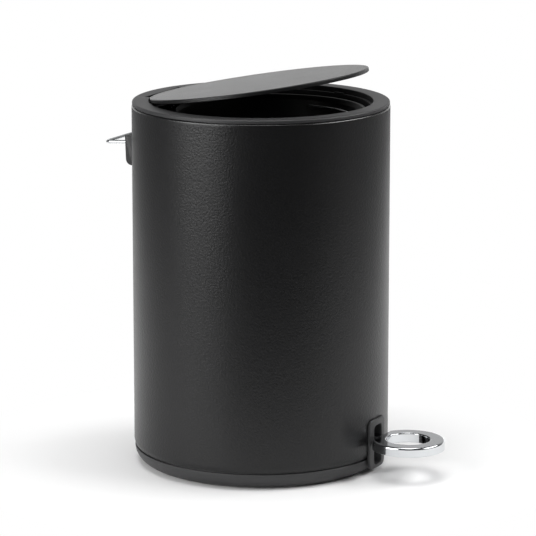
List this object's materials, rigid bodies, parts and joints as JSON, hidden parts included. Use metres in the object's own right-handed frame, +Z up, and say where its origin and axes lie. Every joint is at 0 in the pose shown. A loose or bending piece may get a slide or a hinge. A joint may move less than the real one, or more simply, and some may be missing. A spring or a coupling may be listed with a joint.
{
  "type": "pedal trash can",
  "caption": "Small round pedal bin: a coated steel can with a flush hinged lid, worked through a push rod by a ring-shaped foot pedal, with an inner bucket and a wire loop at the back.",
  "frame": {"origin": "on the can's axis at floor level, in the underside of the foot pad", "axes": "+Z up; -Y towards the pedal at the front; the lid's hinge and the carrying loop are at +Y; +X to the right seen from the pedal side"},
  "size_m": [0.168, 0.2347, 0.2623],
  "materials": {
    "coated_steel": "matte black powder coat",
    "black_plastic": "fine moulded texture",
    "liner_plastic": "moulded",
    "bucket_plastic": "moulded",
    "soft_rubber": "moulded",
    "polished_chrome": "polished plating",
    "steel_wire": "drawn wire",
    "zinc_steel": "zinc-plated pressing"
  },
  "bodies": {
    "can": {"shell": "coated_steel", "base": "black_plastic", "top_ring": "black_plastic", "slot_bezel": "black_plastic", "handle_bracket": "black_plastic", "bucket": "bucket_plastic", "foot_pad": "soft_rubber", "lid_buffers": "soft_rubber", "lever_stop": "soft_rubber", "hinge_pin": "steel_wire", "pedal_axle": "zinc_steel", "axle_bracket": "zinc_steel", "axle_clips": "zinc_steel", "pivot_screws": "zinc_steel", "handle_screws": "zinc_steel"},
    "lid": {"lid": "coated_steel", "lid_liner": "liner_plastic"},
    "rod": {"push_rod": "steel_wire", "upper_rod_clip": "zinc_steel", "lower_rod_clip": "zinc_steel"},
    "pedal": {"pedal_lever": "zinc_steel", "pedal_ring": "polished_chrome", "pedal_rivets": "zinc_steel"},
    "loop": {"carry_loop": "polished_chrome"},
    "bail": {"bucket_bail": "steel_wire"}
  },
  "joints": [
    {"name": "lid_hinge", "type": "hinge", "parent": "can", "child": "lid", "pos_m": [0, 0.0705, 0.2367], "axis": [-1, 0, 0], "range_deg": [-9.1, 70.9]},
    {"name": "rod_pivot", "type": "hinge", "parent": "lid", "child": "rod", "pos_m": [0, 0.06141, 0.23145], "axis": [-1, 0, 0], "range_deg": [-71, 9.2]},
    {"name": "pedal_rock", "type": "hinge", "parent": "can", "child": "pedal", "pos_m": [0, -0.02, 0.0145], "axis": [1, 0, 0], "range_deg": [-1.12, 8.59]},
    {"name": "loop_swing", "type": "hinge", "parent": "can", "child": "loop", "pos_m": [0, 0.0872, 0.208], "axis": [1, 0, 0], "range_deg": [0, 90]},
    {"name": "bail_swing", "type": "hinge", "parent": "can", "child": "bail", "pos_m": [0, -0.006, 0.2279], "axis": [-1, 0, 0], "range_deg": [0, 8]}
  ],
  "couplings": [
    {"joint": "rod_pivot", "follows": "lid_hinge", "ratio": -1},
    {"joint": "pedal_rock", "follows": "lid_hinge", "ratio": 0.1209}
  ]
}
